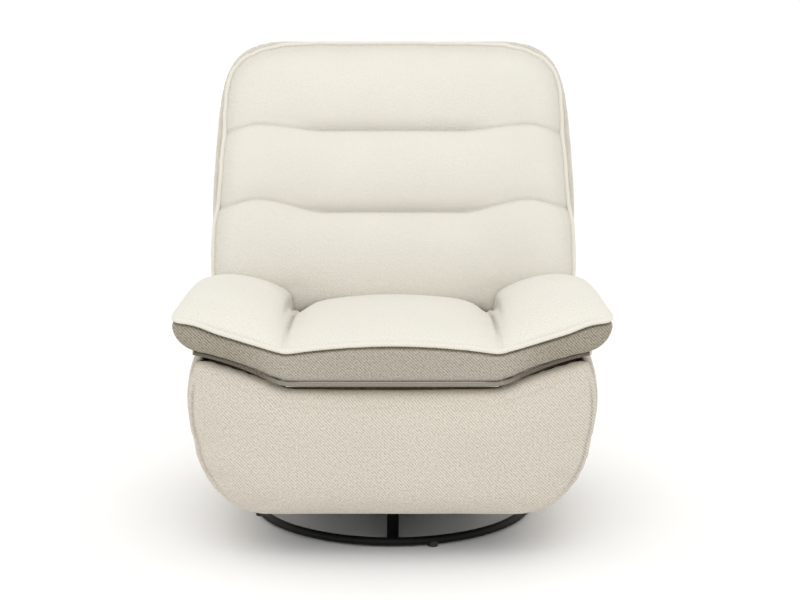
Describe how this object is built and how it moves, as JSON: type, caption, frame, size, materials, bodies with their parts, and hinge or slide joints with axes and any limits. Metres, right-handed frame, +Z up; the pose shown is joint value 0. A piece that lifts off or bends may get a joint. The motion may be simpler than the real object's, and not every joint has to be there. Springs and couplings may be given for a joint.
{
  "type": "swivel recliner",
  "caption": "Upholstered recliner with wing arms, channelled back and folding leg rest, turning on a black steel ring base.",
  "frame": {"origin": "on the floor under the swivel axis, the middle of the chair's box", "axes": "+Z up, -Y the way the sitter faces, +X to the sitter's left"},
  "size_m": [0.9, 0.8805, 1.0442],
  "materials": {
    "black_paint": "satin black powder coat",
    "black_plastic": "moulded black plastic",
    "nylon": "natural nylon",
    "zinc_steel": "bright zinc plate",
    "steel_tube": "black painted tube",
    "plywood": "raw ply",
    "hardwood": "planed, unfinished",
    "cream_twill": "cream twill upholstery",
    "outer_cover": "cream twill over board",
    "webbing": "elastic webbing"
  },
  "bodies": {
    "base": {"base_ring": "black_paint", "base_glides": "black_plastic", "base_hub": "black_paint", "swivel_lower": "zinc_steel", "thrust_ring": "nylon", "king_bolt": "zinc_steel", "spoke_left": "black_paint", "spoke_rear": "black_paint", "spoke_right": "black_paint", "spoke_front": "black_paint"},
    "chair": {"swivel_upper": "zinc_steel", "beam_front": "steel_tube", "beam_rear": "steel_tube", "floor_board": "plywood", "left_plate": "zinc_steel", "right_plate": "zinc_steel", "left_seat_rail": "hardwood", "right_seat_rail": "hardwood", "front_seat_rail": "hardwood", "rear_seat_rail": "hardwood", "seat_deck": "plywood", "rail_bolts": "zinc_steel", "flange_bolts": "zinc_steel", "left_arm_board": "plywood", "right_arm_board": "plywood", "seat_cushion": "cream_twill", "left_arm_pad": "cream_twill", "right_arm_pad": "cream_twill", "left_tub_side": "outer_cover", "right_tub_side": "outer_cover", "tub_rear_wall": "outer_cover", "shaft_bushes": "nylon", "guide_pins": "zinc_steel", "back_pins": "zinc_steel"},
    "rear_links": {"drive_shaft": "zinc_steel", "left_rear_link": "zinc_steel", "right_rear_link": "zinc_steel", "rear_link_pins": "zinc_steel"},
    "front_links": {"left_front_link": "zinc_steel", "right_front_link": "zinc_steel", "front_link_pins": "zinc_steel"},
    "rear_guides": {"left_rear_guide": "zinc_steel", "right_rear_guide": "zinc_steel"},
    "front_guides": {"left_front_guide": "zinc_steel", "right_front_guide": "zinc_steel"},
    "footrest": {"left_footrest_bracket": "zinc_steel", "right_footrest_bracket": "zinc_steel", "footrest_pins": "zinc_steel", "footrest_board": "plywood", "footrest_pad": "cream_twill"},
    "back": {"left_upright": "hardwood", "right_upright": "hardwood", "low_back_rail": "hardwood", "top_back_rail": "hardwood", "back_webbing": "webbing", "left_back_bracket": "zinc_steel", "right_back_bracket": "zinc_steel", "back_shell": "outer_cover", "back_cushion": "cream_twill"}
  },
  "joints": [
    {"name": "swivel", "type": "hinge", "parent": "base", "child": "chair", "pos_m": [0, 0, 0.033], "axis": [0, 0, 1], "continuous": true},
    {"name": "back_recline", "type": "hinge", "parent": "chair", "child": "back", "pos_m": [0, 0.19, 0.4], "axis": [-1, 0, 0], "range_deg": [0, 32]},
    {"name": "footrest_open", "type": "hinge", "parent": "chair", "child": "rear_links", "pos_m": [0, -0.304, 0.2815], "axis": [-1, 0, 0], "range_deg": [0, 93.5]},
    {"name": "front_link_pivot", "type": "hinge", "parent": "rear_links", "child": "front_links", "pos_m": [0, -0.26862, 0.1447], "axis": [-1, 0, 0], "range_deg": [-129.2, 0.5]},
    {"name": "footrest_pivot", "type": "hinge", "parent": "front_links", "child": "footrest", "pos_m": [0, -0.33939, 0.32716], "axis": [-1, 0, 0], "range_deg": [-0.5, 129.2]},
    {"name": "front_guide_pivot", "type": "hinge", "parent": "rear_links", "child": "front_guides", "pos_m": [0, -0.26555, 0.18859], "axis": [-1, 0, 0], "range_deg": [-129.2, 0.5]},
    {"name": "rear_guide_pivot", "type": "hinge", "parent": "chair", "child": "rear_guides", "pos_m": [0, -0.2735, 0.33], "axis": [-1, 0, 0], "range_deg": [-0.5, 84.16]}
  ],
  "couplings": [
    {"joint": "front_link_pivot", "follows": "footrest_open", "ratio": -1.3765},
    {"joint": "footrest_pivot", "follows": "footrest_open", "ratio": 1.3765},
    {"joint": "front_guide_pivot", "follows": "footrest_open", "ratio": -1.3765},
    {"joint": "rear_guide_pivot", "follows": "footrest_open", "ratio": 0.89474}
  ]
}
